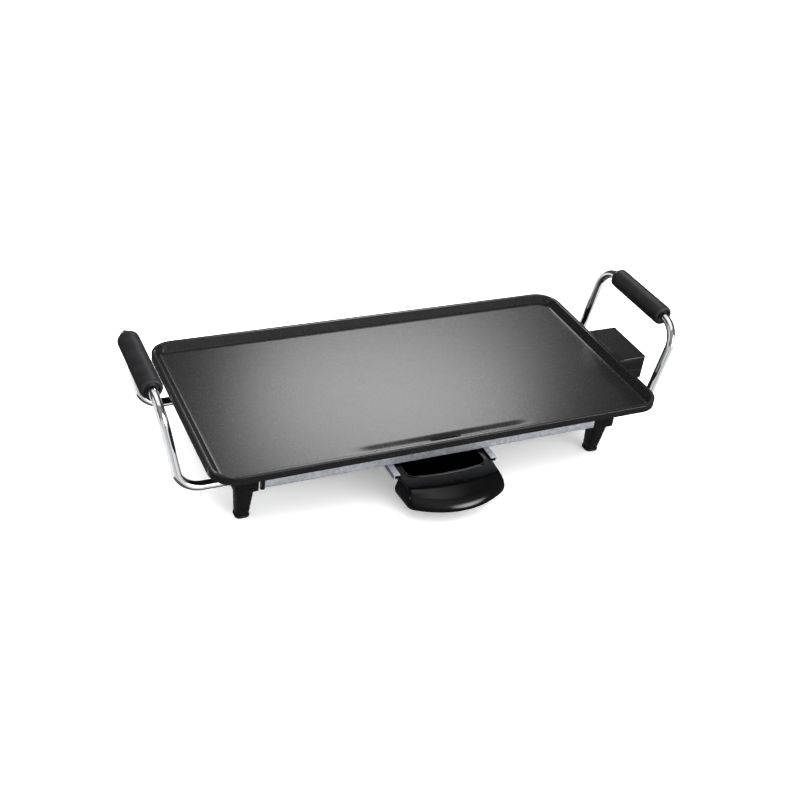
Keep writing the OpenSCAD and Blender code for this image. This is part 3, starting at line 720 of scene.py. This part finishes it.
for side in ("left", "right"):
    makeGrip(side)
print("grips moulded")

# feet
foot = {"legLow": 13, "legTopWide": 17, "legTopDeep": 18.5, "legBack": 5.5, "legRadius": 4,
        "headEdge": 1.0, "headCorner": 1.3, "headDrop": 6, "shoulderRound": 1.6, "rodHole": 9.4,
        "screwHole": 7.4, "screwDepth": 14, "endWall": 1.6, "padCorner": 4.7}


def makeFoot(name, sideX, sideY):
    low, high = boxOf("foot_" + name)
    padLow, padHigh = boxOf("pad_" + name)
    centreX = (low[0] + high[0]) / 2
    screwY = plateY + sideY * footReach
    halfWide, padTop = (high[0] - low[0]) / 2, padHigh[2]
    outward = abs((low[1] if sideY < 0 else high[1]) - screwY)
    inward = abs((high[1] if sideY < 0 else low[1]) - screwY)
    headZ, topZ = runZ - foot["headDrop"], high[2]

    # drawn with the front at -Y about the screw, then turned to its corner
    rings = []

    def ring(z, half, front, back, radius):
        rings.append([(x, y, z) for x, y in roundedLoop(-half, half, front, back, radius, 7)])

    legTop, legLowHalf = foot["legTopWide"] / 2, foot["legLow"] / 2
    frontTop, backY = foot["legBack"] - foot["legTopDeep"], foot["legBack"]
    frontLow = foot["legBack"] - foot["legLow"]
    for inset, lift in ((0.9, 0), (0.25, 0.3), (0, 0.9)):
        ring(padTop + lift, legLowHalf - inset, frontLow + inset, backY - inset,
             foot["legRadius"] - inset)
    for share in (0.25, 0.5, 0.75, 0.92):
        z = padTop + (headZ - padTop) * share
        ring(z, legLowHalf + (legTop - legLowHalf) * share,
             frontLow + (frontTop - frontLow) * share, backY, foot["legRadius"])
    bend = foot["shoulderRound"]
    for grow, drop in ((0.12, 1.0), (0.45, 0.45), (1.0, 0.0)):
        ring(headZ - bend * drop * 0.6, legTop + bend * grow * 0.5, frontTop - bend * grow * 0.5,
             backY + bend * grow * 0.5, foot["legRadius"])
    edge, corner = foot["headEdge"], foot["headCorner"]
    for k in range(5):
        angle = math.pi / 2 * k / 4
        inset = edge * (1 - math.sin(angle))
        ring(headZ + edge * (1 - math.cos(angle)), halfWide - inset, -outward + inset,
             inward - inset, corner)
    for k in range(5):
        angle = math.pi / 2 * k / 4
        inset = edge * 0.7 * (1 - math.cos(angle))
        ring(topZ - edge * 0.7 * (1 - math.sin(angle)), halfWide - inset, -outward + inset,
             inward - inset, corner)
    placed = [[(centreX - sideX * x, screwY - sideY * y, z) for x, y, z in loop] for loop in rings]
    body = newObject("foot_" + name + "_moulding", *skin(placed))
    reach = sideX * (halfWide + 3)
    rodIn = rod((centreX - sideX * (halfWide - foot["endWall"]), screwY, runZ),
                (centreX + reach, screwY, runZ), foot["rodHole"] / 2)
    hole = rod((centreX, screwY, -1), (centreX, screwY, foot["screwDepth"]),
               foot["screwHole"] / 2)
    carve(body, cuts=[rodIn, hole])
    finished(shade(body, 38), finish["phenolic"], "griddle", "black_phenolic", "foot_" + name)

    pad = []
    cy = (padLow[1] + padHigh[1]) / 2
    half = (padHigh[0] - padLow[0]) / 2
    for z, inset in ((0, 0.9), (0.25, 0.3), (0.9, 0), (2.2, 0), (2.75, 0.25), (3.0, 0.8)):
        z = z * padTop / 3
        pad.append([(x, y, z) for x, y in roundedLoop(
            centreX - half + inset, centreX + half - inset, cy - half + inset, cy + half - inset,
            foot["padCorner"] - inset, 7)])
    tip = newObject("pad_" + name + "_moulding", *skin(pad))
    carve(tip, cuts=[rod((centreX, screwY, -1), (centreX, screwY, 5), foot["screwHole"] / 2)])
    finished(shade(tip, 40), finish["pad"], "griddle", "black_rubber", "pad_" + name)


for name, sideX, sideY in (("front_left", -1, -1), ("front_right", 1, -1),
                           ("back_left", -1, 1), ("back_right", 1, 1)):
    makeFoot(name, sideX, sideY)
print("feet moulded")

# drip tray
tray = {"wall": 2.0, "basinRound": 8, "bow": 3.6, "ledge": 6.5, "floorFillet": 3.0,
        "flange": 1.75, "flangeReach": 6.0, "flangeLift": 1.25, "handleGap": 0.2}
trayLow, trayHigh = boxOf("drip_tray")
handleLow, handleHigh = boxOf("tray_handle")
trayX = (trayLow[0] + trayHigh[0]) / 2
basinHalf = (trayHigh[0] - trayLow[0]) / 2 - tray["flangeReach"] - tray["ledge"]
trayFront, trayBack = trayLow[1], trayHigh[1]
trayTop, trayUnder = trayHigh[2], trayLow[2]


def basinLoop(grow, backY, fine=10):
    # straight sides, a bowed front and round front corners
    half, radius = basinHalf + grow, max(tray["basinRound"] + grow, 0.6)
    front = trayFront + tray["wall"] - grow

    def bowed(x):
        return front + tray["bow"] * (x / basinHalf) ** 2

    edge = half - radius
    slope = math.degrees(math.atan(2 * tray["bow"] * edge / basinHalf ** 2))
    cx = edge
    cy = bowed(edge) + radius * math.cos(math.radians(slope))
    loop = []
    for k in range(fine + 1):
        angle = math.radians(180 + (90 - slope) * k / fine)
        loop.append((-cx + radius * math.cos(angle), cy + radius * math.sin(angle)))
    loop += [(x, bowed(x)) for x in (edge * i / 9 for i in range(-8, 9))]
    for k in range(fine + 1):
        angle = math.radians(270 + slope + (90 - slope) * k / fine)
        loop.append((cx + radius * math.cos(angle), cy + radius * math.sin(angle)))
    return [(trayX - half, backY)] + [(trayX + x, y) for x, y in loop] + [(trayX + half, backY)]


def loftBasin(levels):
    return skin([[(x, y, z) for x, y in basinLoop(grow, backY)] for z, grow, backY in levels])


def makeTray():
    wall, fillet = tray["wall"], tray["floorFillet"]
    floorZ = trayUnder + wall
    basinBack = trayBack - wall
    outside = []
    for k in range(5):
        angle = math.pi / 2 * k / 4
        inset = fillet * (1 - math.sin(angle))
        outside.append((trayUnder + fillet * (1 - math.cos(angle)), wall - inset, trayBack - inset))
    outside += [(trayTop, wall, trayBack), (trayTop + 0.45, wall - 0.2, trayBack - 0.2),
                (trayTop + 0.6, wall - 0.6, trayBack - 0.6)]
    body = newObject("drip_tray_moulding", *loftBasin(outside))
    inside = []
    for k in range(6):
        angle = math.pi / 2 * k / 5
        inset = (fillet + 0.6) * (1 - math.sin(angle))
        inside.append((floorZ + (fillet + 0.6) * (1 - math.cos(angle)), -inset, basinBack - inset))
    inside += [(trayTop, 0, basinBack), (trayTop + 0.45, 0.2, basinBack + 0.1),
               (trayTop + 0.62, 0.6, basinBack + 0.4), (trayTop + 2, 0.6, basinBack + 0.4)]
    sideY = handleHigh[1] + tray["handleGap"]
    ledgeHalf = basinHalf + tray["ledge"]
    flangeHalf = (trayHigh[0] - trayLow[0]) / 2
    flangeZ = boxOf("tray_rail_left")[0][2] + tray["flangeLift"]
    ledge = boxMesh((trayX - ledgeHalf, sideY, flangeZ),
                    (trayX + ledgeHalf, trayBack - 0.01, trayTop - 0.01))
    flange = boxMesh((trayX - flangeHalf, sideY + 0.01, flangeZ - 0.01),
                     (trayX + flangeHalf, trayBack - 0.02, flangeZ + tray["flange"]))
    carve(body, joins=[ledge, flange])
    easeEdges(body, 0.55, 20, 50)
    carve(body, cuts=[loftBasin(inside)])
    finished(shade(body, 34), finish["gloss"], "tray", "tray_black", "drip_tray")


makeTray()

# tray handle
bow = {"cornerRound": 3.2, "cornerReach": 1.3, "pocketGap": 0.25}


def handleLoop(z, backHalf, frontHalf, front, fall):
    # a straight back and a front that falls back towards its rounded corners
    backY = handleHigh[1]
    corner = bow["cornerRound"]
    frontCorner = Vector((frontHalf, front + fall))
    side = (Vector((backHalf, backY)) - frontCorner).normalized()
    reach = corner * bow["cornerReach"]
    inner = Vector((frontHalf - reach, front + fall * ((frontHalf - reach) / frontHalf) ** 2))
    start = frontCorner + side * corner * bow["cornerReach"]
    turn = []
    for k in range(9):
        t = k / 8
        turn.append(start * (1 - t) ** 2 + frontCorner * 2 * t * (1 - t) + inner * t * t)
    count = 26
    across = [Vector((x, front + fall * (x / frontHalf) ** 2))
              for x in (inner.x * (1 - 2 * i / count) for i in range(1, count))]
    loop = [Vector((backHalf, backY))] + turn + across
    loop += [Vector((-p.x, p.y)) for p in reversed(turn)] + [Vector((-backHalf, backY))]
    return [(trayX + p.x, p.y, z) for p in loop]


def makeHandle():
    half = (handleHigh[0] - handleLow[0]) / 2
    reach = handleLow[1]
    topZ, lowZ = handleHigh[2], handleLow[2]
    span = topZ - lowZ
    # height share, inset of the back, inset of the front, setback of the nose, bow
    levels = [
        (0.0, 3.6, 5.4, 7.5, 15.0), (0.015, 2.9, 4.8, 5.8, 15.2), (0.05, 2.2, 4.2, 3.6, 15.7),
        (0.1, 1.6, 3.6, 1.8, 16.2), (0.17, 1.0, 2.9, 0.5, 16.7), (0.25, 0.5, 2.3, 0.0, 17.0),
        (0.334, 0.2, 1.8, 0.18, 17.0), (0.415, 0.0, 1.6, 0.7, 16.9), (0.494, 0.2, 1.9, 1.6, 16.2),
        (0.568, 0.6, 2.2, 2.75, 15.2), (0.652, 1.1, 2.7, 4.65, 13.6), (0.723, 1.6, 3.1, 6.95, 11.9),
        (0.775, 2.0, 3.5, 9.3, 10.2), (0.785, 2.1, 3.6, 9.9, 9.9), (0.85, 2.5, 4.0, 12.9, 8.2),
        (0.92, 3.1, 4.7, 16.6, 6.5), (0.97, 3.6, 5.1, 19.3, 5.5), (0.992, 3.9, 5.4, 20.8, 5.0),
        (1.0, 4.4, 5.9, 22.0, 4.8), (1.0, 5.4, 6.9, 23.0, 4.8)]
    rings = [handleLoop(lowZ + span * s, half - a, half - b, reach + c, d)
             for s, a, b, c, d in levels]
    body = newObject("tray_handle_moulding", *skin(rings))
    gap = tray["wall"] + bow["pocketGap"]
    pocket = loftBasin([(lowZ - 1, gap, plateY), (topZ + 1, gap, plateY)])
    carve(body, cuts=[pocket])
    finished(shade(body, 24), finish["gloss"], "tray", "tray_black", "tray_handle")


makeHandle()
print("tray moulded")

# socket
socket = {"wall": 2.5, "edgeRound": 1.1, "pillar": 3.2, "pinRadius": 3.0, "bushingRadius": 5.0,
          "sleeveRadius": 4.0, "headRadius": 2.75, "clearRadius": 1.7, "biteRadius": 1.5,
          "armHalf": 3.1, "seam": 0.15, "lidSide": 0.4, "lidOver": 0.5, "lidCorner": 1.8}


def makeSocket():
    high = boxOf("socket_upper_shell")[1]
    lidLow, lidHigh = boxOf("socket_lid")
    seam = boxOf("contact_pins")
    seamZ = (seam[0][2] + seam[1][2]) / 2
    base = boxOf("socket_lower_shell")
    x0, x1 = lidLow[0] - socket["lidSide"], high[0]
    y0, y1 = lidLow[1] + socket["lidOver"], lidHigh[1] - socket["lidOver"]
    wall = socket["wall"]
    cuts = [boxMesh((x0 + wall, y0 + wall, base[0][2] + wall), (x1 + 9, y1 - wall, lidHigh[2] + 5))]
    pinY = [seam[0][1] + socket["pinRadius"], seam[1][1] - socket["pinRadius"]]
    for y, radius in ((pinY[0], socket["bushingRadius"]), (pinY[1], socket["bushingRadius"]),
                      ((pinY[0] + pinY[1]) / 2, socket["sleeveRadius"])):
        cuts.append(rod((x0 - 2, y, seamZ), (x0 + wall + 1, y, seamZ), radius + 0.02))
    screw = boxOf("socket_screws")
    shell = boxOf("shell_screws")
    screwX, shellX = (screw[0][0] + screw[1][0]) / 2, (shell[0][0] + shell[1][0]) / 2
    screwYs = (screw[0][1] + socket["headRadius"], screw[1][1] - socket["headRadius"])
    shellYs = (shell[0][1] + socket["headRadius"], shell[1][1] - socket["headRadius"])
    gap = socket["seam"]  # half of the visible seam between the half shells

    lower = newObject("socket_lower_moulding",
                      *boxMesh((x0, y0, base[0][2]), (x1, y1, seamZ - gap)))
    joins = [boxMesh(base[0], (x0 + 0.5, base[1][1], base[0][2] + wall))]
    joins += [rod((shellX, y, base[0][2] + 0.01), (shellX, y, seamZ - gap), socket["pillar"])
              for y in shellYs]
    carve(lower, joins=joins, cuts=cuts[:1])
    easeEdges(lower, socket["edgeRound"], 8)
    holes = [rod((screwX, y, 20), (screwX, y, 58), socket["clearRadius"]) for y in screwYs]
    holes += [rod((shellX, y, 20), (shellX, y, 70), socket["clearRadius"]) for y in shellYs]
    carve(lower, cuts=cuts[1:] + holes)
    finished(shade(lower, 34), finish["nylon"], "griddle", "socket_plastic", "socket_lower_shell")

    upper = newObject("socket_upper_moulding", *boxMesh((x0, y0, seamZ + gap), (x1, y1, high[2])))
    armTop = plateFacts["underZ"] - 0.5
    joins = []
    for y in shellYs:
        joins.append(rod((shellX, y, seamZ + gap), (shellX, y, armTop), socket["pillar"]))
        joins.append(boxMesh((shellX, y - socket["armHalf"], seamZ + gap),
                             (x0 + 0.5, y + socket["armHalf"], armTop)))
    carve(upper, joins=joins, cuts=cuts[:1])
    easeEdges(upper, socket["edgeRound"] * 0.6, 8)
    bites = [rod((shellX, y, 60), (shellX, y, 69), socket["biteRadius"]) for y in shellYs]
    carve(upper, cuts=cuts[1:] + bites)
    finished(shade(upper, 34), finish["nylon"], "griddle", "socket_plastic", "socket_upper_shell")

    levels = []
    rise = lidHigh[2] - high[2]
    # the last ring is level with the one before it, so that the top shades flat
    for z, inset in ((0, 0.35), (0.25, 0.08), (0.6, 0), (rise - 0.9, 0), (rise - 0.45, 0.18),
                     (rise - 0.12, 0.5), (rise, 1.0), (rise, 1.6)):
        levels.append([(x, y, high[2] + z) for x, y in roundedLoop(
            lidLow[0] + inset, lidHigh[0] - inset, lidLow[1] + inset, lidHigh[1] - inset,
            socket["lidCorner"] - inset, 6)])
    lid = newObject("socket_lid_moulding", *skin(levels))
    skirt = boxMesh((x0 + wall + 0.2, y0 + wall + 0.2, high[2] - 1.5),
                    (x1 - 3.2, y1 - wall - 0.2, high[2] + 0.1))
    hollow = boxMesh((x0 + wall + 2, y0 + wall + 2, high[2] - 2), (x1 + 5, y1 - wall - 2, high[2]))
    carve(lid, joins=[skirt], cuts=[hollow])
    finished(shade(lid, 36), finish["nylon"], "griddle", "socket_plastic", "socket_lid")


makeSocket()
print("socket moulded")

# base pan screws
panScrew = {"headDiameter": 8.0, "headHeight": 2.2, "cross": 4.2}


def makePanScrews():
    low, high = boxOf("base_pan_screws")
    radius = panScrew["headDiameter"] / 2
    places = [(x, y, low[2] + panScrew["headHeight"]) for x in (low[0] + radius, high[0] - radius)
              for y in (low[1] + radius, high[1] - radius)]
    heads = grown("pan_screw_heads", places, [], headTree, {
        "Diameter": panScrew["headDiameter"] * mm, "Height": panScrew["headHeight"] * mm,
        "Turn": (math.pi, 0, 0), "Socket": panScrew["cross"] * mm, "Material": finish["zinc"]})
    finished(heads, finish["zinc"], "griddle", "zinc_screw")


makePanScrews()
print("fasteners set")

# carried-over pieces
carried = {
    "heating_element": "sheath", "contact_pins": "nickel", "pin_bushings": "steatite",
    "probe_sleeve": "sheath", "base_pan": "galvanised", "base_pan_screws": "zinc",
    "edge_clips": "phenolic", "foot_screws": "zinc", "socket_screws": "zinc",
    "shell_screws": "zinc", "earth_contact": "brass", "tray_rail_left": "galvanised",
    "tray_rail_right": "galvanised", "rail_rivets": "zinc", "tray_screws": "zinc",
}
for node, key in carried.items():
    piece = frame["nodes"][node]
    piece.data.materials.clear()
    piece.data.materials.append(finish[key])
for node, width in (("edge_clips", 0.45), ("base_pan", 0.12), ("tray_rail_left", 0.15),
                    ("tray_rail_right", 0.15)):
    piece = frame["nodes"][node]
    weld = piece.modifiers.new("weld", "WELD")
    weld.merge_threshold = 1e-6
    ease = piece.modifiers.new("ease", "BEVEL")
    ease.width, ease.segments, ease.limit_method = width * mm, 2, "ANGLE"
    ease.angle_limit, ease.harden_normals = math.radians(50), True
print("carried pieces painted")


# stage, light and camera
def makeStage():
    material, tree, shader, place = newFinish("seamless white paper")
    tone = ramp(tree, grain(tree, place, 400, 2), 0.3, 0.7, linear("#f4f4f4"), linear("#fbfbfb"))
    link(tree, tone, shader, "Base Color")
    setShader(shader, Roughness=0.8, Emission_Color=(1, 1, 1, 1), Emission_Strength=0.3)
    bump(tree, shader, grain(tree, place, 2, 2), 0.01, 0.3)
    radius, steps = 6000, 96
    ring = [(radius * math.cos(t), radius * math.sin(t))
            for t in (2 * math.pi * k / steps for k in range(steps))]
    sheet = skin([[(x, y, z) for x, y in ring] for z in (-6, -0.02)])
    paper = newObject("paper_floor", *sheet, material)
    paper.visible_glossy = paper.visible_diffuse = False
    return paper


def addLight(name, azimuth, elevation, distance, width, height, radiance):
    # azimuth runs from the back (+Y) towards the right (+X); radiance is what a mirror would show
    a, e = math.radians(azimuth), math.radians(elevation)
    place = Vector((math.sin(a) * math.cos(e), math.cos(a) * math.cos(e), math.sin(e))) * distance
    lamp = bpy.data.lights.new(name, "AREA")
    lamp.shape, lamp.size, lamp.size_y = "RECTANGLE", width, height
    lamp.energy = radiance * math.pi * width * height
    item = bpy.data.objects.new(name, lamp)
    item.location = place
    item.rotation_euler = (Vector((0, 0, 0.06)) - place).to_track_quat("-Z", "Y").to_euler()
    scene.collection.objects.link(item)
    return item


def skyLight():
    # a dim surround with a few soft bright panels, so that polished pieces show clear streaks
    world = bpy.data.worlds.new("studio surround")
    scene.world = world
    world.use_nodes = True
    tree = world.node_tree
    tree.nodes.clear()
    where = addNode(tree, "ShaderNodeTexCoord").outputs["Generated"]
    height = addNode(tree, "ShaderNodeSeparateXYZ", None, _0=where).outputs[2]
    total = spread(tree, height, -0.3, 0.25, 0.10, 0.07)
    for direction, inner, outer, strength in panels:
        aim = Vector(direction).normalized()
        near = addNode(tree, "ShaderNodeVectorMath", {"operation": "DOT_PRODUCT"},
                       _0=where, _1=aim).outputs["Value"]
        glow = spread(tree, near, math.cos(math.radians(outer)), math.cos(math.radians(inner)),
                      0, strength)
        total = addNode(tree, "ShaderNodeMath", {"operation": "ADD"}, _0=total, _1=glow).outputs[0]
    seen = addNode(tree, "ShaderNodeLightPath").outputs["Is Camera Ray"]
    around = addNode(tree, "ShaderNodeBackground", None, Color=total, Strength=1.0)
    plain = addNode(tree, "ShaderNodeBackground", None, Color=(1, 1, 1, 1), Strength=1.0)
    mix = addNode(tree, "ShaderNodeMixShader", None, _0=seen, _1=around.outputs[0],
                  _2=plain.outputs[0])
    addNode(tree, "ShaderNodeOutputWorld", None, Surface=mix.outputs[0])


# direction, full-brightness angle, edge angle, brightness
panels = [((0.1, 0.1, 1.0), 10, 22, 0.8), ((-0.95, 0.05, 0.3), 14, 22, 0.8),
          ((0.495, -0.857, 0.14), 2, 24, 8.0), ((-0.1, -0.85, 0.6), 20, 60, 0.28)]
paper = makeStage()
passed = bpy.data.collections.new("passed by the screens")
passed.objects.link(paper)
passed.collection_objects[0].light_linking.link_state = "EXCLUDE"
skyLight()


def lightsOnly(item, *receivers):
    # the lamp reaches these pieces alone, and the paper doesn't stop it
    group = bpy.data.collections.new(item.name + " receivers")
    for piece in receivers:
        group.objects.link(piece)
    item.light_linking.receiver_collection = group
    if paper not in receivers:
        item.light_linking.blocker_collection = passed


def addDisc(name, centre, radius, radiance):
    # a round soft light facing straight down
    lamp = bpy.data.lights.new(name, "AREA")
    lamp.shape, lamp.size = "DISK", 2 * radius
    lamp.energy = radiance * math.pi * math.pi * radius * radius
    item = bpy.data.objects.new(name, lamp)
    item.location = centre
    scene.collection.objects.link(item)
    return item


def addWash(name, azimuth, elevation, spreadAngle, strength):
    # a very wide light with no visible disc
    sun = bpy.data.lights.new(name, "SUN")
    sun.energy, sun.angle = strength, math.radians(spreadAngle)
    item = bpy.data.objects.new(name, sun)
    a, e = math.radians(azimuth), math.radians(elevation)
    place = Vector((math.sin(a) * math.cos(e), math.cos(a) * math.cos(e), math.sin(e)))
    item.rotation_euler = (-place).to_track_quat("-Z", "Y").to_euler()
    item.visible_glossy = False
    scene.collection.objects.link(item)
    return item


addDisc("plate disc", (1.67, 3.27, 2.575), 0.71, 7.6)
addWash("overhead wash", 0, 90, 70, 2.0)
addWash("front wash", 172, 22, 60, 0.5)
lightsOnly(addWash("paper wash", 20, 80, 130, 5.5), paper)

# white screens round the polished rods; the gaps between them draw the dark lines
rods = [bpy.data.objects["handle_rod_" + side + "_polished"] for side in ("left", "right")]
for name, azimuth, elevation, wide, tall, radiance in (
        ("front left screen", -148, -24, 2.2, 2.6, 0.62),
        ("left screen", -88, -24, 2.3, 2.6, 0.95),
        ("back left screen", -30, -24, 2.2, 2.6, 0.75),
        ("back right screen", 32, -24, 2.3, 2.6, 0.9),
        ("right screen", 90, -24, 2.2, 2.6, 1.0),
        ("front right screen", 148, -24, 2.0, 2.6, 0.8),
        ("overhead screen", 0, 86, 3.2, 3.2, 0.9)):
    lightsOnly(addLight(name, azimuth, elevation, 2.5, wide, tall, radiance), *rods)

# the sheet metal under the front edge has its own screen and wash
rails = [frame["nodes"]["tray_rail_" + side] for side in ("left", "right")]
stripScreen = addLight("strip screen", 155, -32, 2.5, 3.4, 2.4, 0.5)
lightsOnly(stripScreen, frame["nodes"]["base_pan"], *rails)
lightsOnly(addWash("rail wash", 185, 60, 40, 7.0), *rails)
for item in scene.objects:
    if item.type == "LIGHT":
        item.visible_camera = False

camera = {"azimuth": -28.2, "elevation": 33.6, "roll": 7.4, "lens": 54.38, "distance": 1175.4,
          "aim": (-26.1, -42.6)}


def makeCamera():
    azimuth, elevation, roll = (math.radians(camera[k]) for k in ("azimuth", "elevation", "roll"))
    back = Vector((math.sin(azimuth) * math.cos(elevation),
                   -math.cos(azimuth) * math.cos(elevation), math.sin(elevation)))
    right = Vector((math.cos(azimuth), math.sin(azimuth), 0))
    up = back.cross(right)
    turnedRight = right * math.cos(roll) + up * math.sin(roll)
    turnedUp = up * math.cos(roll) - right * math.sin(roll)
    aim = Vector((camera["aim"][0], camera["aim"][1] + plateY, plateFacts["top"]))
    place = (aim + back * camera["distance"]) * mm
    lens = bpy.data.cameras.new("view")
    lens.lens, lens.sensor_width = camera["lens"], 36
    lens.clip_start, lens.clip_end = 0.01, 50
    item = bpy.data.objects.new("view", lens)
    basis = Matrix((turnedRight, turnedUp, back)).transposed().to_4x4()
    item.matrix_world = Matrix.Translation(place) @ basis
    scene.collection.objects.link(item)
    scene.camera = item


makeCamera()
scene.view_settings.view_transform = "Standard"
print("stage set")
